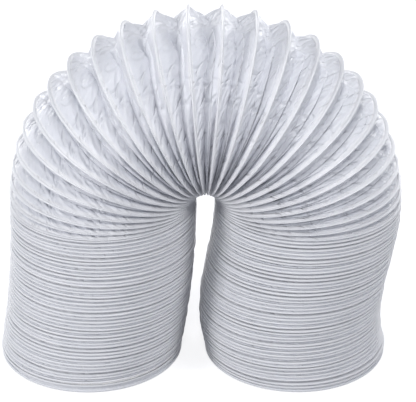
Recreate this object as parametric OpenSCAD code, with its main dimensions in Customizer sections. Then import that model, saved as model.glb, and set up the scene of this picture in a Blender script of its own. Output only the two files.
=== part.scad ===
// Pleated flexible air duct: a spring wire helix inside a lapped film skin.
// It stands as an inverted U on its two ends. Both legs are pushed together, and
// the arch between them is fanned out. Millimetres, +Z up, X along the U.
// Origin: middle of the footprint, on the surface that the duct stands on.

/* [Wire helix] */
// Diameter of the helix, wire centre to wire centre
coil_d = 154; // [100:1:200]
// Diameter of the spring steel wire
wire_d = 1.2; // [0.8:0.1:2]

/* [Film] */
// Film between two turns, as a multiple of the widest gap that it has to span. In the
// legs it lies folded between the turns.
film_slack = 1.25; // [1.1:0.05:1.4]
// Depth of a fanned pleat's valley, as a share of the gap between its turns
valley_share = 0.45; // [0.3:0.05:0.6]
// Depth that this valley keeps where the gap closes
valley_base = 1.5; // [1:0.5:3]
// Depth that it gains towards the throat, where the film is spare
valley_tuck = 3.5; // [2:0.5:5]
// Drawn thickness of the film
film_t = 0.3; // [0.2:0.05:0.4]
// Clearance between a film edge and the wire that it is drawn up to
film_gap = 0.1; // [0.05:0.05:0.3]
// Film squeezed between two wires at the throat
throat_film = 0.1; // [0.05:0.05:0.5]
// Share of the fanning that every turn gets, before the rest grows towards the crest
fan_base = 0.22; // [0.15:0.01:0.6]

/* [Legs] */
// Distance between two turns of a leg
leg_pitch = 3.4; // [3:0.1:4]
// Folded turns in each leg
leg_turns = 40; // [20:2:48]
// Outward lean of the left foot
left_lean = 13; // [0:1:16]
// Inward lean of the right leg at its waist
waist_lean = 13; // [0:1:16]
// Depth of that waist below the top of the leg, as a share of the leg's height
waist_at = 0.78; // [0.6:0.02:0.9]
// Way that the right foot comes back out below the waist
foot_back = 4.5; // [0:0.5:8]

/* [End cuffs] */
// Height of the cuff
cuff_h = 7; // [7:0.5:12]
// Thickness of the doubled film of the cuff
cuff_t = 0.8; // [0.6:0.1:1.2]
// Thickness of the rolled lip that the cuff stands on
lip_d = 2; // [1.6:0.1:2.2]

/* [Hidden] */
N = 26;                     // fanned turns of the arch, each one a movable body

film_white = [0.93, 0.94, 0.96];
wire_grey = [0.62, 0.64, 0.67];
cuff_white = [0.88, 0.89, 0.91];
round_fn = 64;              // facets of a round in the plain view
wire_fn = 16;               // the same for a section of the wire
leg_wire_fn = 8;            // sides of that section in the legs, where the film hides it
film_steps = 36;            // rows of film in one turn of the arch
valley_mid = 0.45;          // where a pleat's valley runs, as a share of the way over it
valley_hang = 0.13;         // share by which it hangs towards the lower turn
valley_climb = 0.24;        // share by which it starts nearer the far turn, at the crest
crest_zone = [8, 35];       // degrees from the crest over which it leaves the middle
climb_zone = [25, 105];     // degrees from the crest over which that climb dies out
tuck_zone = [90, 150];      // degrees from the crest over which it hangs deeper
throat_zone = [0, 30];      // degrees from the throat over which it leaves the middle
gap_zone = [2, 8];          // gaps between two turns over which it leaves the middle
pack_turns = 2;             // turns of a leg's film that share one centre
leg_play = 0.9;             // radial room in which those packs follow the leaning wire
shift_step = 0.25;          // turns of a leg lie this much, or a multiple of it, aside
join_short = 0.5;           // degrees that a leg's half turns stop short of each other
join_l = 2.6;               // length of the sleeve that joins two of them

wire_r = wire_d / 2;
join_d = wire_d + 0.12;     // thickness of that sleeve
coil_r = coil_d / 2;
film_r = coil_r - wire_r - film_gap;        // outer edge of the film in the arch
leg_film_r = film_r - leg_play;             // outer edge of the film in a leg
throat_pitch = wire_d + throat_film;        // advance of the wire along the throat

function two(i) = i < 10 ? str("0", i) : str(i);
function sum(v, n) = n <= 0 ? 0 * v[0] : v[n - 1] + sum(v, n - 1);

// Fan angle at each hinge: a base share plus half a sine wave, 180 degrees together
fan = [for (i = [0 : N - 2]) fan_base + (1 - fan_base) * sin(180 * (i + 0.5) / (N - 1))];
// Direction from throat to crest of each turn: 180 beside the left leg, 0 beside the right
way = [for (i = [0 : N - 1]) 180 - 180 * sum(fan, i) / sum(fan, N - 1)];

// The wire passes a throat point, a crest point and the next throat point in each turn
advance = [for (a = way) throat_pitch * [sin(a), -cos(a)]];
half_gap = sum(advance, N)[0] / 2;
leg_top = cuff_h + leg_turns * leg_pitch;
mid_x = left_lean / 2;      // puts the origin in the middle of the whole width
function leg_in(side) = mid_x + side * half_gap;
arch_throat = [for (i = [0 : N]) [leg_in(-1), leg_top] + sum(advance, i)];
arch_crest = [for (i = [0 : N - 1])
    (arch_throat[i] + arch_throat[i + 1]) / 2 + coil_d * [cos(way[i]), sin(way[i])]];

// Sideways shift of a leg at depth v, which is 0 at its top and 1 at its foot
function left_shift(v) = -left_lean * v * v;
function right_shift(v) = foot_back * pow(max(0, v - waist_at) / (1 - waist_at), 2)
    - waist_lean * pow(sin(90 * min(v / waist_at, 1)), 2);
function shift(side, v) =
    shift_step * round((side < 0 ? left_shift(min(v, 1)) : right_shift(min(v, 1))) / shift_step);
// Point of a leg's wire, h half turns below its top: an even h is on the inner side
function leg_point(side, h) = [
    leg_in(side) + (h % 2 == 0 ? 0 : side * coil_d) + shift(side, h / 2 / leg_turns),
    leg_top - h * leg_pitch / 2
];
function leg_middle(side, v) = leg_in(side) + side * coil_r + shift(side, v);

// The last film of the arch reaches the first turn of the right leg
throat = concat(arch_throat, [leg_point(1, 2)]);
crest = concat(arch_crest, [leg_point(1, 1)]);
widest = max([for (i = [0 : N - 2]) norm(crest[i + 1] - crest[i])]);
film_turn = film_slack * widest;            // film between two turns, laid flat
function fold_depth(half_span) = sqrt(pow(film_turn / 2, 2) - pow(half_span, 2));
leg_fold = fold_depth(leg_pitch / 2);       // how far a leg's folds reach inwards
leg_wall = film_t * leg_fold / (leg_pitch / 2);     // its wall, measured radially

// 0 below a zone's first value, 1 above its second, and a smooth rise between them
function ease(x, zone) =
    let (v = max(0, min(1, (x - zone[0]) / (zone[1] - zone[0])))) v * v * (3 - 2 * v);
// Valley of the film after turn i, a degrees round from the throat, where the gap is
// that wide: how far it lies on the way over, and how deep it hangs
function valley_at(i, a, gap) =
    let (from_crest = abs(a - 180),
         hang = valley_mid + valley_hang * cos(way[i])
             + valley_climb * (1 - cos(way[i])) * (1 - ease(from_crest, climb_zone)),
         shifted = ease(from_crest, crest_zone) * ease(180 - from_crest, throat_zone)
             * ease(gap, gap_zone),
         at = 0.5 + (hang - 0.5) * shifted)
    a > 180 ? at : 1 - at;
function valley_depth(a, gap) =
    valley_share * gap + valley_base + valley_tuck * ease(abs(a - 180), tuck_zone);

// Half a turn of wire from the point p to the point q, on the +Y side or the -Y side.
// It is laid from q, and may stop a few degrees short of either point.
module half_turn(p, q, y_side, short_p = 0, short_q = 0, fn = wire_fn) {
    d = q - p;
    r = norm(d) / 2;
    translate([q[0], 0, q[1]])
        rotate([0, -atan2(d[1], d[0]), 0])
            rotate([y_side > 0 ? 0 : 180, 0, 0])
                translate([-r, 0, 0])
                    rotate([0, 0, short_q])
                        rotate_extrude(angle = 180 - short_p - short_q, $fn = round_fn)
                            translate([r, 0]) circle(d = wire_d, $fn = fn);
}

// One turn of the arch's wire: up one side to the crest, down the other side
module turn_wire(i) {
    color(wire_grey) {
        half_turn(throat[i - 1], crest[i - 1], 1);
        half_turn(throat[i], crest[i - 1], -1);
    }
}

// Point beside turn i of the wire, a degrees round from its throat, at radius r
function beside(i, a, r) =
    let (foot = a <= 180 ? throat[i] : throat[i + 1],
         arm = (crest[i] - foot) / 2,
         at = foot + arm - arm * cos(a) * r / norm(arm))
    [at[0], r * sin(a), at[1]];

// Section of the film between turns i and i + 1: a V with parallel walls.
// Its six corners run along the outside of the duct, then back along the inside.
function pleat(i, a) =
    let (p = beside(i, a, film_r),
         q = beside(i + 1, a, film_r),
         gap = norm(q - p),
         along = (q - p) / gap,
         edge = min(1.5 * film_gap, 0.1 * gap),
         wall = min(film_t, 0.6 * (gap / 2 - edge)),
         deep = valley_depth(a, gap),
         kept = 1 - wall / (gap / 2 - edge),
         inner = valley_at(i, a, gap),
         outer = (edge + wall + (inner * gap - edge) * kept) / gap,
         valley = function(share, r)
             (1 - share) * beside(i, a, r) + share * beside(i + 1, a, r))
    [p + (edge + wall) * along, valley(outer, film_r - deep * kept),
     q - (edge + wall) * along, q - edge * along,
     valley(inner, film_r - deep), p + edge * along];

// The film of one turn: the V section carried once round from throat to throat
module turn_film(i) {
    sections = [for (k = [0 : film_steps]) pleat(i - 1, 360 * k / film_steps)];
    last = 6 * film_steps;
    // the inside of each wall is split along the same diagonal as its outside
    sides = [for (k = [0 : film_steps - 1], c = [0 : 5])
        let (a = 6 * k + c, b = 6 * k + (c + 1) % 6)
        each c == 3 || c == 4 ? [[a, b, a + 6], [b, b + 6, a + 6]]
            : [[a, b, b + 6], [a, b + 6, a + 6]]];
    cap = [[0, 4, 1], [0, 5, 4], [1, 3, 2], [1, 4, 3]];
    ends = concat(cap, [for (f = cap) [last + f[2], last + f[1], last + f[0]]]);
    color(film_white)
        polyhedron(points = [for (s = sections) each s], faces = concat(sides, ends));
}

// All turns of a leg's wire, down to the one that lies round the cuff. Its half turns
// stop just short of each other, and a short sleeve joins each to the next.
module leg_wire(side) {
    last = 2 * leg_turns + 1;
    color(wire_grey)
        for (h = [0 : last]) {
            half_turn(leg_point(side, h), leg_point(side, h + 1), h % 2 == 0 ? side : -side,
                h > 0 ? join_short : 0, h < last ? join_short : 0, leg_wire_fn);
            if (h > 0)
                translate([leg_point(side, h)[0], 0, leg_point(side, h)[1]])
                    rotate([90, 0, 0])
                        cylinder(h = join_l, d = join_d, center = true, $fn = wire_fn);
        }
}

// Folded film of a leg: packs of V pleats, each pack centred on the leaning wire
module leg_film(side) {
    pleats = side < 0 ? leg_turns : leg_turns - 1;
    reach = leg_fold - leg_wall;
    color(film_white)
        for (first = [0 : pack_turns : pleats - 1]) {
            count = min(pack_turns, pleats - first);
            outside = [for (k = [0 : 2 * count])
                [leg_film_r - (k % 2) * reach, k * leg_pitch / 2]];
            inside = [for (k = [2 * count : -1 : 0])
                [leg_film_r - leg_wall - (k % 2) * reach, k * leg_pitch / 2]];
            translate([leg_middle(side, 1 - (first + count / 2) / leg_turns), 0,
                       cuff_h + first * leg_pitch])
                rotate_extrude($fn = round_fn) polygon(concat(outside, inside));
        }
}

// End cuff: doubled film inside the last turn of wire, with a rolled lip below and
// the first fold of the film turned inwards at its top
module cuff(side) {
    color(cuff_white)
        translate([leg_middle(side, 1), 0, 0])
            rotate_extrude($fn = round_fn) {
                translate([film_r - cuff_t, 0]) square([cuff_t, cuff_h]);
                translate([leg_film_r - leg_wall, cuff_h - cuff_t])
                    square([leg_wall + leg_play, cuff_t]);
                translate([coil_r + wire_r - lip_d / 2, lip_d / 2])
                    circle(d = lip_d, $fn = 24);
            }
}

module left_cuff() { cuff(-1); }
module left_leg_wire() { leg_wire(-1); }
module left_leg_film() { leg_film(-1); }
module right_leg_wire() { leg_wire(1); }
module right_leg_film() { leg_film(1); }
module right_cuff() { cuff(1); }

left_cuff();
left_leg_wire();
left_leg_film();
for (i = [1 : N]) turn_wire(i);
for (i = [1 : N]) turn_film(i);
right_leg_wire();
right_leg_film();
right_cuff();
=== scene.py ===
"""Looks of a pleated flexible air duct: a wire helix inside a lapped film skin.

Lengths are in millimetres until a mesh is laid, which takes them to metres.
"""

import math

import bpy
import numpy as np
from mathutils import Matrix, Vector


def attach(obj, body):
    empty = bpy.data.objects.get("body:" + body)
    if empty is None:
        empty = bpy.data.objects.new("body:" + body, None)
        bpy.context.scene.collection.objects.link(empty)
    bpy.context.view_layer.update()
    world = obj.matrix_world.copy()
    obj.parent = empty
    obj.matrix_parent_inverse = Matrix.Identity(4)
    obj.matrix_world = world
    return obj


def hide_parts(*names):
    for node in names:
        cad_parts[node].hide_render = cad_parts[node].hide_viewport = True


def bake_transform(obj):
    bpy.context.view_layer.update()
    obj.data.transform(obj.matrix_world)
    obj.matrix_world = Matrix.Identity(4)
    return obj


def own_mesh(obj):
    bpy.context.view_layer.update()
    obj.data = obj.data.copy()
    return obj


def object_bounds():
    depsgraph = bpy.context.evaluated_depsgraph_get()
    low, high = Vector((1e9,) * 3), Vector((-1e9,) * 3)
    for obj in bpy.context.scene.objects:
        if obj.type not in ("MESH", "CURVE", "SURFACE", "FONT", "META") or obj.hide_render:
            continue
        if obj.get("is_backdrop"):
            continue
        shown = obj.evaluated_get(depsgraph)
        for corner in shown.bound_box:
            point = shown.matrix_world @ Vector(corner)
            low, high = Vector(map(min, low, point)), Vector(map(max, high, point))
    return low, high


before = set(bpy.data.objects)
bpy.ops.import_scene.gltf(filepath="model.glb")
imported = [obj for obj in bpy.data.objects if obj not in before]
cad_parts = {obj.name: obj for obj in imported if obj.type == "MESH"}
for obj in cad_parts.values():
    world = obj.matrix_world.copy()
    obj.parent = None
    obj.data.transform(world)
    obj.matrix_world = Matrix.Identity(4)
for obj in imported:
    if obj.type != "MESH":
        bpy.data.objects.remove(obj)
cad_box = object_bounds()

# ---- Fanned seams ----------------------------------------------------------
# The 1.2 mm spring wire of each fanned turn, with the film lapped over it and
# welded along it. The lap is the narrow white ridge between two pleats. It is
# thin where the turns crowd at the throat and full where they spread.
MM = 0.001
turns = 26                      # fanned turns between the two legs
coil_r = 77.0                   # wire centre to the middle of the duct
wire_r = 0.6                    # half the wire's thickness
throat_pitch = 1.3              # advance of the wire along the throat
fan_base = 0.22                 # share of the fanning that every turn gets
leg_turns = 40                  # folded turns in each leg, above the one round its cuff
leg_pitch = 3.4                 # height of a folded turn
leg_top = 143.0                 # where the legs end and the fan begins
mid_x = 6.5                     # sideways place of the throat's middle
left_lean = 13.0                # how far outwards the left foot stands
waist_lean = 13.0               # how far inwards the right leg's waist bends
waist_at = 0.78                 # share of the way down to that waist
foot_back = 4.5                 # how far out again the right foot stands
uneven_r = 0.32, 0.22           # slow and quick unevenness of a folded turn's radius
uneven_z = 0.30, 0.16           # the same of its height
lap_fanned = 0.85               # half the width of a lap, where there is room
lap_folded = 0.95               # the same in a leg
lap_flare = 1.0                 # how much wider it lies on the crest, where it is pulled flat
lap_gathered = 0.6              # how much wider it lies near the throat
lap_proud = 1.0                 # how far it stands out past the wire's centre
lap_tail, open_tail = 2.6, 3.0  # how far it reaches inwards, folded and fanned
fan_steps, fan_sides = 168, 12  # points of a fanned lap along a turn and round its section

# the helix runs from the left cuff, with turn 0 at the top of the left leg
first_turn, last_turn = -leg_turns - 1, turns + leg_turns + 1
# each fanned turn lies in a plane at its own angle, from pi on the left to 0 on the
# right, and reaches from a point of the throat to one of the crest, in x and z
hinge = np.arange(turns - 1)
fan = fan_base + (1 - fan_base) * np.sin(np.pi * (hinge + 0.5) / (turns - 1))
way = np.pi * (1 - np.concatenate([[0], np.cumsum(fan)]) / fan.sum())
advance = throat_pitch * np.stack([np.sin(way), -np.cos(way)], 1)
half_gap = advance[:, 0].sum() / 2
throat = np.array([mid_x - half_gap, leg_top]) + np.concatenate(
    [[[0, 0]], np.cumsum(advance, 0)])
crest = (throat[1:] + throat[:-1]) / 2 + 2 * coil_r * np.stack(
    [np.cos(way), np.sin(way)], 1)


def hum(t, seed, low, high, voices=7):
    """Smooth irregular wave over t: a sum of sines, with the frequencies spread
    between low and high and with fixed random phases, scaled to about -1 to 1."""
    draw = np.random.default_rng(seed)
    frequency = low * (high / low) ** draw.random(voices)
    phase = draw.random(voices) * 2 * np.pi
    wave = np.sin(2 * np.pi * np.asarray(t)[..., None] * frequency + phase).sum(-1)
    return wave / math.sqrt(voices)


def ease(x, low, high):
    """0 below low, 1 above high, and 3x^2 - 2x^3 of the way between them."""
    x = np.clip((np.asarray(x, float) - low) / (high - low), 0, 1)
    return x * x * (3 - 2 * x)


def lean(side, depth):
    """Sideways shift of a leg at a depth of 0 at its top to 1 at its foot: a square
    on the left; on the right a sine squared down to the waist, then back out."""
    down = np.clip(depth, 0, 1)
    left = -left_lean * down ** 2
    right = (foot_back * (np.maximum(0, down - waist_at) / (1 - waist_at)) ** 2
             - waist_lean * np.sin(np.pi / 2 * np.minimum(down / waist_at, 1)) ** 2)
    return np.where(side < 0, left, right)


def path(t):
    """Wire centre t turns along the helix, with the outward and onward directions.
    Each turn is a circle of radius coil_r about the middle of its throat-to-crest
    line: middle + radius (sideways sin a - crestwards cos a), a = 2 pi t. A leg's
    circles are level, stacked at leg_pitch, a little uneven in height and radius."""
    t = np.asarray(t, float)
    angle = 2 * np.pi * t
    turn = np.clip(np.floor(t), 0, turns - 1).astype(int)
    foot = np.where(((t - turn) <= 0.5)[..., None], throat[turn], throat[turn + 1])
    arm = (crest[turn] - foot) / 2
    reach = np.linalg.norm(arm, axis=-1)
    crestwards, middle = arm / reach[..., None], foot + arm

    side = np.where(t < turns / 2, -1.0, 1.0)
    below = np.where(t < turns / 2, -t, t - turns)          # turns below the leg's top
    in_leg = (t < 0) | (t > turns)
    loose = ease(below, 0.6, 3) * ease(leg_turns + 1 - below, 0, 1.5)
    radius = coil_r + loose * (
        uneven_r[0] * hum(t, 3, 0.08, 0.6) + uneven_r[1] * hum(t, 4, 1.3, 4))
    lift = loose * (uneven_z[0] * hum(t, 5, 0.3, 0.52) + uneven_z[1] * hum(t, 6, 1.2, 3.4))
    leg_middle = np.stack([
        mid_x + side * (half_gap + coil_r) + lean(side, below / leg_turns),
        leg_top - leg_pitch * below + lift], -1)
    level = np.stack([side, 0 * side], -1)
    crestwards = np.where(in_leg[..., None], level, crestwards)
    middle = np.where(in_leg[..., None], leg_middle, middle)
    reach = np.where(in_leg, radius, reach)

    outward = np.stack([-np.cos(angle) * crestwards[..., 0], np.sin(angle),
                        -np.cos(angle) * crestwards[..., 1]], -1)
    onward = np.stack([crestwards[..., 1], 0 * angle, -crestwards[..., 0]], -1)
    centre = np.stack([middle[..., 0], 0 * angle, middle[..., 1]], -1)
    return centre + reach[..., None] * outward, outward, onward


def gap(t):
    """Distance from the wire at t to the wire one turn further on."""
    return np.linalg.norm(path(t + 1)[0] - path(t)[0], axis=-1)


def run_of(points):
    """Distance run along a line of points, up to each of them."""
    return np.cumsum(np.concatenate([[0], np.linalg.norm(np.diff(points, axis=0), axis=1)]))


def lay_uv(piece, name, lengths):
    """UV map with two lengths at each vertex, one along the piece and one across."""
    vertex_of = np.empty(len(piece.data.loops), int)
    piece.data.loops.foreach_get("vertex_index", vertex_of)
    layer = piece.data.uv_layers.new(name=name)
    layer.data.foreach_set("uv", (lengths.reshape(-1, 2)[vertex_of] * MM).ravel())


def lay_mesh(name, corners, faces, lengths):
    """Smooth mesh at the origin, with its lengths as the UV map along_across."""
    mesh = bpy.data.meshes.new(name)
    mesh.from_pydata((corners * MM).tolist(), [], faces)
    mesh.polygons.foreach_set("use_smooth", np.ones(len(mesh.polygons), bool))
    piece = bpy.data.objects.new(name, mesh)
    lay_uv(piece, "along_across", lengths)
    mesh.update()
    bpy.context.scene.collection.objects.link(piece)
    return piece


def lay_grid(name, points, lengths, round_section=False, sharp=()):
    """Mesh over a grid of points, rows along the wire and columns across it. Each
    quad joins two neighbours of one row to those of the next, facing outwards. A
    round section closes on itself and gets a fan of triangles at both ends. The
    edges that run along a sharp column are creased."""
    rows, cols = points.shape[:2]
    index = np.arange(rows * cols).reshape(rows, cols)
    if round_section:
        index = np.concatenate([index, index[:, :1]], 1)
    quads = np.stack([index[:-1, :-1], index[1:, :-1], index[1:, 1:], index[:-1, 1:]], -1)
    corners, faces = points.reshape(-1, 3), quads.reshape(-1, 4).tolist()
    if round_section:
        hub = np.full(cols, rows * cols)
        faces += np.stack([hub, index[0, :-1], index[0, 1:]], -1).tolist()
        faces += np.stack([hub + 1, index[-1, 1:], index[-1, :-1]], -1).tolist()
        corners = np.concatenate([corners, points[0].mean(0)[None], points[-1].mean(0)[None]])
        lengths = np.concatenate([lengths.reshape(-1, 2), lengths[0, :1], lengths[-1, :1]])
    piece = lay_mesh(name, corners, faces, lengths)
    if len(sharp):
        ends = np.empty(2 * len(piece.data.edges), int)
        piece.data.edges.foreach_get("vertices", ends)
        column = ends.reshape(-1, 2) % cols
        creased = (column[:, 0] == column[:, 1]) & np.isin(column[:, 0], sharp)
        piece.data.edges.foreach_set("use_edge_sharp", creased)
        piece.data.update()
    return piece


def lap(name, start, end, per_turn, columns):
    """Lap of film round the wire from turn start to turn end. Its section runs round
    an angle a. Folded, it is a blunt box: |cos a|^0.62 outwards and |sin a|^0.62
    onwards. Where the turns are fanned it is a pear that comes to a ridge on the
    outside: cos a outwards and |sin a|^0.7 (0.78 - 0.3 cos a) onwards. To each side
    it takes at most about half the room to the nearest turn, and a narrow lap stands
    out less."""
    t = np.linspace(start, end, int(round((end - start) * per_turn)) + 1)
    at, outward, onward = path(t)
    before = gap(np.maximum(t - 1, first_turn))
    after = gap(np.minimum(t, last_turn - 1))
    room = np.minimum(before, after)
    below = np.maximum(-t, t - turns)                       # turns down a leg
    folded = ease(below, -0.3, 1.5)
    turned = 360 * np.abs(t - np.floor(t) - 0.5)            # degrees from the crest
    full = (lap_fanned + lap_flare * (1 - ease(turned, 25, 80))
            + lap_gathered * ease(turned, 130, 150))
    full += (lap_folded - full) * folded
    full *= 1 + 0.07 * hum(t, 11, 0.3, 0.8) + 0.03 * hum(t, 12, 2, 9)
    half = np.minimum(full, (0.53 - 0.09 * ease(room, 2, 6)) * room)
    tail = lap_tail + (open_tail - lap_tail) * ease(room, 4, 14)
    tail -= (tail - wire_r) * ease(below - leg_turns, -0.4, 0.1)        # round the cuff
    proud = lap_proud * np.minimum(1, half / 0.9)

    round_it = np.linspace(0, 2 * np.pi, columns, endpoint=False)
    cosine, sine, blunt = np.cos(round_it), np.sin(round_it), folded[:, None]
    out = np.sign(cosine) * np.abs(cosine) ** (1 - 0.38 * blunt)
    out = ((proud - tail) / 2)[:, None] + ((proud + tail) / 2)[:, None] * out
    on = np.sign(sine) * np.abs(sine) ** (0.7 - 0.08 * blunt)
    on = half[:, None] * on * (1 - (1 - blunt) * (0.22 + 0.3 * cosine))
    points = at[:, None] + out[..., None] * outward[:, None] + on[..., None] * onward[:, None]
    lengths = np.broadcast_arrays(run_of(at)[:, None], half[:, None] * round_it)
    return lay_grid(name, points, np.stack(lengths, -1), round_section=True)


def nodes_of(name, colour, roughness):
    """New material with its own shader: flat values go on the shader's sockets."""
    material = bpy.data.materials.new(name)
    material.use_nodes = True
    shader = material.node_tree.nodes["Principled BSDF"]
    shader.inputs["Base Color"].default_value = (*colour, 1)
    shader.inputs["Roughness"].default_value = roughness
    shader.inputs["IOR"].default_value = 1.5
    return material, material.node_tree.nodes, material.node_tree.links, shader


def lengths_on(nodes, name):
    """The piece's UV map of that name: lengths along it and across it, in metres."""
    uv_map = nodes.new("ShaderNodeUVMap")
    uv_map.uv_map = name
    return uv_map.outputs["UV"]


def noise(nodes, links, vector, scale, detail, stretch=(1, 1, 1), rough=0.5):
    """Noise texture read through a Mapping node that stretches it."""
    place = nodes.new("ShaderNodeMapping")
    place.inputs["Scale"].default_value = stretch
    links.new(vector, place.inputs["Vector"])
    texture = nodes.new("ShaderNodeTexNoise")
    texture.inputs["Scale"].default_value = scale
    texture.inputs["Detail"].default_value = detail
    texture.inputs["Roughness"].default_value = rough
    links.new(place.outputs["Vector"], texture.inputs["Vector"])
    return texture.outputs["Fac"]


def between(nodes, links, factor, low, high):
    """Value that goes from low to high as the factor goes from 0.3 to 0.7."""
    span = nodes.new("ShaderNodeMapRange")
    span.inputs["From Min"].default_value = 0.3
    span.inputs["From Max"].default_value = 0.7
    span.inputs["To Min"].default_value = low
    span.inputs["To Max"].default_value = high
    links.new(factor, span.inputs["Value"])
    return span.outputs["Result"]


def shades(nodes, links, factor, dark, light):
    """Colour ramp from dark to light over the middle of the factor's range."""
    ramp = nodes.new("ShaderNodeValToRGB")
    ramp.color_ramp.elements[0].position = 0.3
    ramp.color_ramp.elements[1].position = 0.7
    ramp.color_ramp.elements[0].color = (*dark, 1)
    ramp.color_ramp.elements[1].color = (*light, 1)
    links.new(factor, ramp.inputs["Fac"])
    return ramp.outputs["Color"]


def relief(nodes, links, shader, height, depth, strength):
    """Bump of that depth in millimetres, from a height of 0 to 1."""
    bump = nodes.new("ShaderNodeBump")
    bump.inputs["Strength"].default_value = strength
    bump.inputs["Distance"].default_value = depth * MM
    links.new(height, bump.inputs["Height"])
    links.new(bump.outputs["Normal"], shader.inputs["Normal"])


def lapped_vinyl():
    """Film doubled over the wire: the whitest of it, with a fine grain drawn out
    along the weld."""
    material, nodes, links, shader = nodes_of("lapped vinyl", (0.86, 0.87, 0.90), 0.36)
    lengths = lengths_on(nodes, "along_across")
    weld = noise(nodes, links, lengths, 900, 3, (1, 0.25, 1))
    cloud = noise(nodes, links, lengths, 60, 2)
    links.new(shades(nodes, links, cloud, (0.73, 0.735, 0.765), (0.77, 0.77, 0.79)),
              shader.inputs["Base Color"])
    links.new(between(nodes, links, weld, 0.30, 0.44), shader.inputs["Roughness"])
    relief(nodes, links, shader, weld, 0.4, 0.35)
    return material


lap_white = lapped_vinyl()
for number in range(1, turns + 1):
    seam = lap(f"turn_{number:02d}_seam", number - 1, number, fan_steps, fan_sides)
    seam.data.materials.append(lap_white)
    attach(seam, f"turn_{number:02d}")
    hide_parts(f"turn_{number:02d}_wire")
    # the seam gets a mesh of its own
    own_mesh(seam)

# ---- Fanned pleats ---------------------------------------------------------
# The strip of thin soft PVC film between two fanned turns, welded under their laps.
# It hangs inwards in a valley, and nearer the throat, where there is film to spare,
# in a second one beside it. Creases and small dents run in from the welds.
film_t = 0.3                    # thickness of the film as it is drawn
film_in = 0.5                   # the strip's edges lie this far inside the wire's centre
valley_slope = 0.45             # depth of the valley, as a share of the gap that it spans
valley_shallow = 0.12           # less of that share beside the legs
valley_least = 1.5              # and what is added to it
valley_slack = 5.0              # more of it below the middle of the turn
throat_depth = 0.4              # what is left of it at the throat
lobe_lift = 0.4                 # share of it that the round lobe behind the crest takes off
second_share, low_share = 0.8, 0.3      # depths of the second valley and low fold, of the first's
foot_run, foot_most = 1.0, 0.14     # way over from a lap to its foot, and at most this share
foot_fall, fall_most = 1.0, 0.6     # how far the film falls there, and of the valley at most
foot_tilt = 0.6                 # how much more or less it falls on a pleat that lies over
ridge_fall = 2.4                # how much more on the crest, where the laps stand up
slit_run, slit_most = 0.6, 0.1  # half the width of a slit, and at most this share
slit_depth = 4.5                # how deep it pinches a fold in
facet_h, fine_facet_h, ripple_h = 0.5, 0.35, 0.12       # heights of the creases
facets_over, fine_facets_over = 6, 14   # how many half waves of them on the way over
crease_slant = 0.014            # share of the way over that they slant in a degree
dents_least, dents_more = 2, 4  # dents in a pleat, and how many more beside the legs
pleat_steps = 240               # rows of a pleat along a turn
pleat_cells = (2, 10, 8, 1, 1, 12, 1, 1, 6, 2)      # its columns, panel by panel
fanned_bulge, pushed_bulge = 0.05, 0.8      # how far a panel stands out, for its width
doubled_w, doubled_fade = 2.8, 0.6          # band of doubled film along a lap, and its edge


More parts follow.
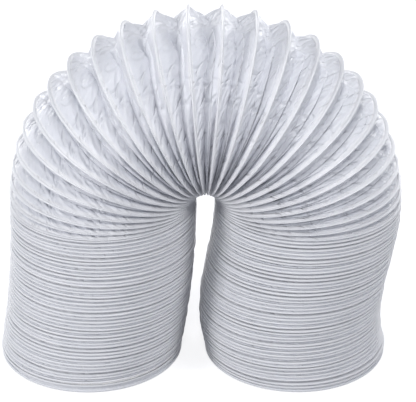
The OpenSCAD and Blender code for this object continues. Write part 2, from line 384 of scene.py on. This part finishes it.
def fanned_fold(t, wide, turned, front, side, seed):
    """Section of a fanned pleat, as eleven points that each lie a share of the way
    over and a depth inwards. In turn: lap, foot, valley, low fold (three points),
    second valley (three points), foot and lap. In the right half of the bend a slit
    pinches in the middle one of each three. The valley is (0.45 - 0.12 |side|) gap +
    1.5 deep, 5 more from 90 to 140 degrees off the crest, and then runs out to 0.4 at
    the throat. Until the second valley sets in, its points and the low fold's lie on
    the line from the valley to the lap. On the crest the section is round, and the
    same both ways."""
    zero = np.zeros_like(t)
    opened = ease(wide, 2, 8)
    fold_on = opened * ease(180 - turned, 0, 30)            # 0 at the throat

    # the valley starts at a place of its own and drifts on its way round the turn
    crest_share = 0.5 + 0.12 * hum(seed * 0.37, 21, 1, 9)
    share = 0.44 + 0.02 * side + (0.12 + 0.22 * side) * (1 - ease(turned, 15, 85))
    share = crest_share + (share - crest_share) * ease(turned, 8, 35)
    share = 0.5 + (share - 0.5) * fold_on + 0.03 * opened * hum(t, seed, 1, 7)
    deep = (valley_slope - valley_shallow * abs(side)) * wide + valley_least
    deep += valley_slack * ease(turned, 90, 140)
    deep *= 1 + 0.06 * hum(t, seed + 1, 1, 6)
    deep -= (deep - throat_depth) * ease(turned, 138, 156)
    # just behind the crest the film stands up between the laps in a round lobe
    lobe = ease(turned, 4, 16) * (1 - ease(turned, 30, 60)) * ~front
    deep *= 1 - lobe_lift * lobe

    # the second valley, and the low fold between the two
    onset = 48 + 18 * abs(side)
    second = ease(turned, onset, onset + 38) * fold_on
    share_2 = 1 - (0.05 + 0.10 * (side < 0)) - 0.24 * ease(turned, onset, 150)
    share_2 = share_2 + 0.015 * hum(t, seed + 2, 1, 9)
    line = deep * (1 - share_2) / (1 - share)
    deep_2 = line + second * (second_share * deep - line)
    share_low = share + (0.5 + 0.04 * hum(t, seed + 10, 1, 4)) * (share_2 - share)
    line = deep * (1 - share_low) / (1 - share)
    deep_low = line + second * (low_share * deep - line)

    # the feet of the laps, and the slits
    ridge = (1 - ease(turned, 12, 45)) * (1 - ease(abs(side), 0.35, 0.8)) * (1 - 0.8 * lobe)
    foot = np.minimum(foot_run / wide, foot_most)
    steep = foot_fall + ridge_fall * ridge
    fall = np.minimum(steep - foot_tilt * side, fall_most * deep) * ease(wide, 1, 6)
    fall_2 = np.minimum(steep + foot_tilt * side, fall_most * deep) * ease(wide, 1, 6)
    slit = np.minimum(slit_run / wide, slit_most)
    cut = slit_depth * (1 - ease(side, -0.3, 0.3)) * opened * (1 + 0.3 * hum(t, seed + 8, 1, 4))
    cut *= ease(turned, 24, 38) * (1 - ease(turned, 125, 150))

    shares = np.stack([
        zero, foot, share, share_low - slit, share_low, share_low + slit, share_2 - slit,
        share_2, share_2 + slit / 2, np.maximum(1 - foot, share_2 + slit), zero + 1], 1)
    depths = np.stack([
        zero, fall, deep, deep_low, deep_low + cut, deep_low, deep_2,
        deep_2 + 0.6 * cut * second, deep_2, np.minimum(fall_2, deep_2 + 2), zero], 1)
    round_shares = np.stack([zero, foot] + [zero + over for over in (
        0.36, 0.41, 0.46, 0.5, 0.54, 0.59, 0.64)] + [1 - foot, zero + 1], 1)
    round_depths = np.stack([zero, fall] + [level * deep for level in (
        0.84, 0.92, 0.98, 1, 0.98, 0.92, 0.84)] + [fall, zero], 1)
    on_crest = (1 - ease(turned, 1, 14))[:, None]
    shares += (round_shares - shares) * on_crest
    depths += (round_depths - depths) * on_crest
    return shares, depths


def pushed_fold(t, seed):
    """Section of the film in a leg, as the same eleven points: two valleys about 4 mm
    deep, and between them the low fold, which comes out between the laps to anything
    from 3.1 mm inside the strip's edges to 0.9 mm outside them."""
    one = np.ones_like(t)
    middle = 0.5 + 0.02 * hum(t, seed, 0.3, 3)
    valley, valley_2 = 4 + hum(t, seed + 1, 0.3, 2), 4 + hum(t, seed + 2, 0.3, 2)
    fold = -0.9 + 4 * ease(hum(t, seed + 4, 0.15, 0.8), -0.2, 1.3)
    shares = np.stack([
        0 * one, 0.2 * one, 0.33 * one, middle - 0.02, middle, middle + 0.02,
        0.65 * one, 0.67 * one, 0.68 * one, 0.8 * one, one], 1)
    depths = np.stack([
        0 * one, one, valley, fold, fold, fold, valley_2, valley_2, valley_2, one, 0 * one], 1)
    return shares, depths


def panels(shares, depths, cells, wide, bulge):
    """Way over and depth of every column. A panel joins two points of the section: a
    share f of the way along it, it stands out by bulge sin(pi f) times its width."""
    over, sunk = [], []
    for panel, count in enumerate(cells):
        f = np.arange(count) / count
        first, last = shares[:, panel, None], shares[:, panel + 1, None]
        over.append(first + (last - first) * f)
        sunk.append(depths[:, panel, None] * (1 - f) + depths[:, panel + 1, None] * f
                    - bulge * (last - first) * wide[:, None] * np.sin(np.pi * f))
    return np.hstack(over + [shares[:, -1:]]), np.hstack(sunk + [depths[:, -1:]])


def crumple(over, t, wide, turned, front, side, seed):
    """Depth that creases and dents add to a fanned pleat. The creases are flat facets,
    a wave |(6 l + w) mod 2 - 1| with w a slow wander and l the way over and 0.014 more
    for each degree off the crest, so that they slant down from the far turn towards
    the near one. Finer ones come in now and then. A dent is exp(-x^2 - y^2) deep."""
    t = np.broadcast_to(t[:, None], over.shape)
    wide, turned = wide[:, None], turned[:, None]
    lower = np.where(front[:, None], over, 1 - over) + crease_slant * turned
    wander = 0.35 * hum(t, seed + 3, 1, 5) + 0.25 * hum(over, seed + 4, 0.5, 2)
    facets = np.abs((facets_over * lower + wander) % 2 - 1)
    fine = np.abs((fine_facets_over * lower + 2 * wander) % 2 - 1)
    room = ease(wide, 2, 8) * np.minimum(1, 6 * over * (1 - over))
    strong = (0.35 + 0.65 * (1 - ease(turned, 60, 115))) * ease(turned, 1, 14)
    added = strong * (
        facet_h * facets * (0.7 + 0.3 * hum(t + over, seed + 5, 1, 6))
        + fine_facet_h * fine * ease(hum(t - over, seed + 7, 1, 5), 0, 0.8))
    added += ripple_h * hum(t + 0.06 * over, seed + 6, 6, 40)

    # dents beside the laps, where the weld has gathered the film
    draw = np.random.default_rng(seed + 9)
    for _ in range(int(dents_least + dents_more * abs(side))):
        at_t = t[0, 0] + 0.5 + draw.choice([-1, 1]) * draw.uniform(0.13, 0.33)
        at_share = draw.choice([draw.uniform(0.08, 0.25), draw.uniform(0.75, 0.92)])
        long, broad = draw.uniform(0.004, 0.006), draw.uniform(1.0, 2.6)
        deep = draw.uniform(1.2, 3.2)
        off = ((t - at_t) / long) ** 2 + ((over - at_share) * wide / broad) ** 2
        added += deep * np.exp(-off) * ease(wide, 6, 9)
    return room * added


def strip(name, start, end, per_turn, cells, seed, fanned):
    """Film from turn start to turn end, between the wire at t and at t + 1. Each
    point is the near edge + its share of the span + its depth inwards."""
    t = np.linspace(start, end, int(round((end - start) * per_turn)) + 1)
    (near, out_near, _), (far, out_far, _) = path(t), path(t + 1)
    near, far = near - film_in * out_near, far - film_in * out_far
    inward = -(out_near + out_far)
    inward /= np.linalg.norm(inward, axis=1)[:, None]
    span = far - near
    wide = np.linalg.norm(span, axis=1)
    inside = np.clip(t, start + 1e-6, end - 1e-6)           # an end belongs to its own turn
    along = inside - np.floor(inside)
    turned = 360 * np.abs(along - 0.5)                      # degrees from the crest
    front = along > 0.5
    if fanned:
        side = -np.cos(way[start])                          # 1 on the left to -1 on the right
        shares, depths = fanned_fold(t, wide, turned, front, side, seed)
    else:
        shares, depths = pushed_fold(t, seed)
    # the rear half of a turn is the front one the other way round
    shares = np.where(front[:, None], shares, 1 - shares[:, ::-1])
    depths = np.where(front[:, None], depths, depths[:, ::-1])
    bulge = fanned_bulge if fanned else pushed_bulge
    over, sunk = panels(shares, depths, cells, wide, bulge)
    if fanned:
        sunk += crumple(over, t, wide, turned, front, side, seed)

    points = near[:, None] + over[..., None] * span[:, None] + sunk[..., None] * inward[:, None]
    steps = np.hypot(np.diff(over, axis=1) * wide[:, None], np.diff(sunk, axis=1))
    across = np.hstack([0 * wide[:, None], np.cumsum(steps, axis=1)])
    run = np.broadcast_to(run_of(near)[:, None], across.shape)
    folds = np.cumsum(cells)[[1, 2, 4, 5, 7]] if fanned else ()     # sharp: valleys and low fold
    piece = lay_grid(name, points, np.stack([run, across], -1), sharp=folds)
    from_lap = np.minimum(across, across[:, -1:] - across)
    lay_uv(piece, "from_lap", np.stack([run, from_lap], -1))
    skin = piece.modifiers.new("film thickness", "SOLIDIFY")
    skin.thickness = film_t * MM
    skin.offset = 0
    return piece


def creases(nodes, links, vector, scale, angle, stretch, sharp):
    """Height of crumpled film: cones between cells of a Voronoi pattern, whose cells
    are stretched that many times along a line turned by that angle. Sharp ones are
    narrow grooves along the cells' borders, flat between them, that a coarse noise
    fades out over most of the film."""
    place = nodes.new("ShaderNodeMapping")
    place.vector_type = "TEXTURE"
    place.inputs["Rotation"].default_value = (0, 0, math.radians(angle))
    place.inputs["Scale"].default_value = (stretch, 1, 1)
    links.new(vector, place.inputs["Vector"])
    cells = nodes.new("ShaderNodeTexVoronoi")
    cells.inputs["Scale"].default_value = scale
    links.new(place.outputs["Vector"], cells.inputs["Vector"])
    if not sharp:
        return cells.outputs["Distance"]
    cells.feature = "DISTANCE_TO_EDGE"
    shallow = nodes.new("ShaderNodeMapRange")
    shallow.inputs["From Min"].default_value = 0.6
    shallow.inputs["From Max"].default_value = 0.48
    links.new(noise(nodes, links, vector, 75, 1), shallow.inputs["Value"])
    groove = nodes.new("ShaderNodeMapRange")
    groove.inputs["From Max"].default_value = 0.12
    links.new(shallow.outputs["Result"], groove.inputs["To Min"])
    links.new(cells.outputs["Distance"], groove.inputs["Value"])
    return groove.outputs["Result"]


def pleated_vinyl():
    """Single film: clouded, whiter in a band along the laps, where it is doubled, and
    crumpled by long creases that slant away from them and by short sharp ones."""
    material, nodes, links, shader = nodes_of("pleated vinyl", (0.84, 0.855, 0.885), 0.4)
    lengths = lengths_on(nodes, "along_across")
    crinkle = noise(nodes, links, lengths, 160, 4, (1, 0.5, 1), 0.6)
    cloud = noise(nodes, links, lengths, 35, 2)
    single = shades(nodes, links, cloud, (0.675, 0.685, 0.73), (0.73, 0.735, 0.775))
    lap_distance = nodes.new("ShaderNodeSeparateXYZ")
    links.new(lengths_on(nodes, "from_lap"), lap_distance.inputs["Vector"])
    doubled = nodes.new("ShaderNodeMapRange")
    doubled.inputs["From Min"].default_value = (doubled_w + doubled_fade) * MM
    doubled.inputs["From Max"].default_value = doubled_w * MM
    links.new(lap_distance.outputs["Y"], doubled.inputs["Value"])
    colour = nodes.new("ShaderNodeMix")
    colour.data_type = "RGBA"
    # its sockets for colours: the factor, the two that it mixes, and the result
    factor, colour_a, colour_b = colour.inputs[0], colour.inputs[6], colour.inputs[7]
    mixed = colour.outputs[2]
    colour_b.default_value = (0.75, 0.75, 0.775, 1)
    links.new(doubled.outputs["Result"], factor)
    links.new(single, colour_a)
    links.new(mixed, shader.inputs["Base Color"])
    links.new(between(nodes, links, crinkle, 0.34, 0.5), shader.inputs["Roughness"])
    height = between(nodes, links, crinkle, 0, 0.12)
    for scale, angle, stretch, depth, sharp in (
            (260, -22, 14, 0.4, False), (330, -35, 7, 0.2, False), (110, -40, 3.5, 0.42, True)):
        added = nodes.new("ShaderNodeMath")
        added.operation = "MULTIPLY_ADD"
        links.new(creases(nodes, links, lengths, scale, angle, stretch, sharp), added.inputs[0])
        added.inputs[1].default_value = depth
        links.new(height, added.inputs[2])
        height = added.outputs[0]
    relief(nodes, links, shader, height, 3.2, 0.75)
    return material


film_white = pleated_vinyl()
for number in range(1, turns):
    pleat = strip(f"turn_{number:02d}_pleat", number - 1, number, pleat_steps, pleat_cells,
                  seed=100 * number, fanned=True)
    pleat.data.materials.append(film_white)
    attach(pleat, f"turn_{number:02d}")
    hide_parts(f"turn_{number:02d}_film")
    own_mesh(pleat)

# ---- Folded legs -----------------------------------------------------------
# The rest of the same wire and film, pushed together: forty turns a side, with
# their laps almost touching and the film folded out between them.
cuff_h = 7.0                    # height of the cuff, which doesn't stretch
leg_steps, leg_sides = 96, 10   # points of its laps along a turn and round their section
film_steps = 64                 # rows of its film along a turn
film_cells = (1, 1, 3, 1, 1, 3, 1, 1, 1, 1)         # columns of its film, panel by panel
for side_name, arch_body, laps, film, film_nodes, seed in (
        ("left", "turn_01", (first_turn, 0), (first_turn + 1, 0), ("left_leg_film",), 7),
        ("right", f"turn_{turns:02d}", (turns, last_turn), (turns - 1, last_turn - 1),
         ("right_leg_film", f"turn_{turns:02d}_film"), 8)):
    seam = lap(f"{side_name}_leg_seam", *laps, leg_steps, leg_sides)
    seam.data.materials.append(lap_white)
    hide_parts(f"{side_name}_leg_wire")
    folds = strip(f"{side_name}_leg_folds", *film, film_steps, film_cells, seed, fanned=False)
    folds.data.materials.append(film_white)
    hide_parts(*film_nodes)
    for piece in (seam, folds):
        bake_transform(piece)

# ---- End cuffs -------------------------------------------------------------
# A hem of doubled film under the last turn of wire, welded into a short sleeve
# that slips over a spigot, with its lower edge rolled outwards into a soft lip.
cuff_out = 76.3                 # outer radius of the sleeve
cuff_t = 0.8                    # thickness of its wall
lip_r = 1.0                     # radius of the rolled lip
edge_r = 0.2                    # how much its edges are rounded off


def doubled_vinyl():
    """Doubled film of the hem, with a fine grain drawn out round it."""
    material, nodes, links, shader = nodes_of("doubled vinyl", (0.82, 0.835, 0.865), 0.42)
    grain = noise(nodes, links, lengths_on(nodes, "along_across"), 420, 3, (1, 0.4, 1))
    links.new(shades(nodes, links, grain, (0.70, 0.71, 0.75), (0.77, 0.775, 0.80)),
              shader.inputs["Base Color"])
    links.new(between(nodes, links, grain, 0.36, 0.5), shader.inputs["Roughness"])
    relief(nodes, links, shader, grain, 0.4, 0.3)
    return material


def hem(name, side):
    """The hem's section carried once round the foot: up the inside, down the
    outside, and round the lip on a circle of radius lip_r that rests on the floor.
    Above the lip its radius is uneven by 0.12 sin(23a + 1) + 0.1 sin(41a). Across it,
    the UV map counts the section's points."""
    inner, rim = cuff_out - cuff_t, coil_r + wire_r - lip_r
    lip = np.radians(np.linspace(125, -215, 22))            # once round, less the join
    profile = np.concatenate([
        [[inner, edge_r], [inner, 2.5], [inner, 4.8], [inner, cuff_h - edge_r],
         [cuff_out - cuff_t / 2, cuff_h], [cuff_out, cuff_h - edge_r], [cuff_out, 4.8],
         [cuff_out, 2.6]],
        np.stack([rim + lip_r * np.cos(lip), lip_r + lip_r * np.sin(lip)], 1)])
    angle = np.linspace(0, 2 * np.pi, 240, endpoint=False)[:, None]
    wave = 0.12 * np.sin(23 * angle + 1) + 0.1 * np.sin(41 * angle)
    radius = profile[:, 0] + wave * ease(profile[:, 1], 0.5, 3)
    height = np.broadcast_to(profile[:, 1], radius.shape)
    foot_x = mid_x + side * (half_gap + coil_r) + float(lean(side, 1.0))
    points = np.stack([foot_x + radius * np.cos(angle), radius * np.sin(angle), height], -1)
    rows, cols = radius.shape
    index = np.arange(rows * cols).reshape(rows, cols)
    ahead, beside = np.roll(index, -1, 0), np.roll(index, -1, 1)
    faces = np.stack([index, beside, np.roll(ahead, -1, 1), ahead], -1).reshape(-1, 4)
    lengths = np.broadcast_arrays(angle * coil_r, np.arange(cols) * 1.0)
    return lay_mesh(name, points.reshape(-1, 3), faces.tolist(), np.stack(lengths, -1))


hem_white = doubled_vinyl()
for side_name, side in (("left", -1), ("right", 1)):
    cuff = hem(f"{side_name}_hem", side)
    cuff.data.materials.append(hem_white)
    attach(cuff, f"{side_name}_end")
    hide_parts(f"{side_name}_cuff")

# ---- Floor, light and camera -----------------------------------------------
# A pale floor that runs back out of view, in an even white surrounding. A lamp high
# in front and one overhead light the bend, two low ones at the sides light the legs,
# and two weak ones light the back.
floor_half, floor_drop = 6, 0.0005      # metres, as are all the lengths from here on
floor_colour = (0.45, 0.45, 0.47, 1)
floor_glow = 0.75               # what the camera sees on top of the lamps' light
sky_colour, sky_strength = (0.68, 0.79, 1, 1), 0.18


def seen_ray(nodes, links):
    """1 for a ray from the camera, a mirror or glass: the largest of the three."""
    ray = nodes.new("ShaderNodeLightPath")
    seen = ray.outputs["Is Camera Ray"]
    for other in ("Is Glossy Ray", "Is Transmission Ray"):
        largest = nodes.new("ShaderNodeMath")
        largest.operation = "MAXIMUM"
        links.new(seen, largest.inputs[0])
        links.new(ray.outputs[other], largest.inputs[1])
        seen = largest.outputs[0]
    return seen


def seen_else(nodes, links, seen, unseen):
    """One shader for what a seen ray meets, and another for all other light."""
    mix = nodes.new("ShaderNodeMixShader")
    links.new(seen_ray(nodes, links), mix.inputs[0])
    links.new(unseen.outputs[0], mix.inputs[1])
    links.new(seen.outputs[0], mix.inputs[2])
    return mix.outputs[0]


def floor_paint():
    """Matt pale floor with a glow that only a seen ray meets."""
    material = bpy.data.materials.new("floor white")
    material.use_nodes = True
    nodes, links = material.node_tree.nodes, material.node_tree.links
    plain = nodes["Principled BSDF"]
    plain.inputs["Base Color"].default_value = floor_colour
    plain.inputs["Roughness"].default_value = 0.9
    glow, none = nodes.new("ShaderNodeEmission"), nodes.new("ShaderNodeEmission")
    glow.inputs["Strength"].default_value = floor_glow
    none.inputs["Strength"].default_value = 0
    both = nodes.new("ShaderNodeAddShader")
    links.new(plain.outputs[0], both.inputs[0])
    links.new(seen_else(nodes, links, glow, none), both.inputs[1])
    links.new(both.outputs[0], nodes["Material Output"].inputs["Surface"])
    return material


floor_mesh = bpy.data.meshes.new("floor")
floor_mesh.from_pydata([(x * floor_half, y * floor_half, -floor_drop)
                        for x, y in ((-1, -1), (1, -1), (1, 1), (-1, 1))], [], [(0, 1, 2, 3)])
floor_mesh.materials.append(floor_paint())
floor = bpy.data.objects.new("floor", floor_mesh)
bpy.context.scene.collection.objects.link(floor)
floor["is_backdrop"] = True

world = bpy.data.worlds.new("studio")
bpy.context.scene.world = world
world.use_nodes = True
nodes, links = world.node_tree.nodes, world.node_tree.links
sky, backdrop = nodes["Background"], nodes.new("ShaderNodeBackground")
sky.inputs["Color"].default_value = sky_colour
sky.inputs["Strength"].default_value = sky_strength
backdrop.inputs["Color"].default_value = (1, 1, 1, 1)
backdrop.inputs["Strength"].default_value = 1
links.new(seen_else(nodes, links, backdrop, sky), nodes["World Output"].inputs["Surface"])


def lamp(name, place, target, size, power):
    """Square area lamp that looks from its place at the target."""
    light = bpy.data.lights.new(name, "AREA")
    light.size = size
    light.energy = power
    holder = bpy.data.objects.new(name, light)
    bpy.context.scene.collection.objects.link(holder)
    holder.location = place
    aim = np.array(target) - np.array(place)
    aim = aim / np.linalg.norm(aim)
    holder.rotation_euler = (math.acos(-aim[2]), 0, math.atan2(aim[1], aim[0]) - math.pi / 2)


for name, place, size, power in (
        ("key lamp", (0, -1.1, 1.4), 0.4, 8.5),
        ("top lamp", (0.1, -0.1, 1.7), 0.4, 7.5),
        ("left lamp", (-1.3, -0.7, 0.45), 0.4, 10.5),
        ("right lamp", (1.2, -0.7, 0.8), 0.4, 6),
        ("back left lamp", (-0.8, 1.3, 0.45), 0.5, 5),
        ("back right lamp", (0.8, 1.3, 0.45), 0.5, 5)):
    lamp(name, place, (0, 0, 0.15), size, power)

# The camera stands in front, 27 degrees above the duct's middle, with a long lens.
looks_at = (0.00855, 0, 0.13979)
distance = 1.5493
rise, swing = math.radians(26.97), math.radians(-0.15)
camera_data = bpy.data.cameras.new("camera")
camera_data.sensor_width = 36
camera_data.lens = 160.2
camera = bpy.data.objects.new("camera", camera_data)
bpy.context.scene.collection.objects.link(camera)
camera.location = (looks_at[0] + distance * math.sin(swing) * math.cos(rise),
                   looks_at[1] - distance * math.cos(swing) * math.cos(rise),
                   looks_at[2] + distance * math.sin(rise))
camera.rotation_euler = (math.pi / 2 - rise, 0, swing)
bpy.context.scene.camera = camera
bpy.context.scene.view_settings.view_transform = "Standard"


def plain_numbers(value):
    """Nested lists of plain numbers."""
    return [plain_numbers(v) for v in value] if hasattr(value, "__len__") else float(value)


{"cad": plain_numbers(cad_box), "visual": plain_numbers(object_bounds())}
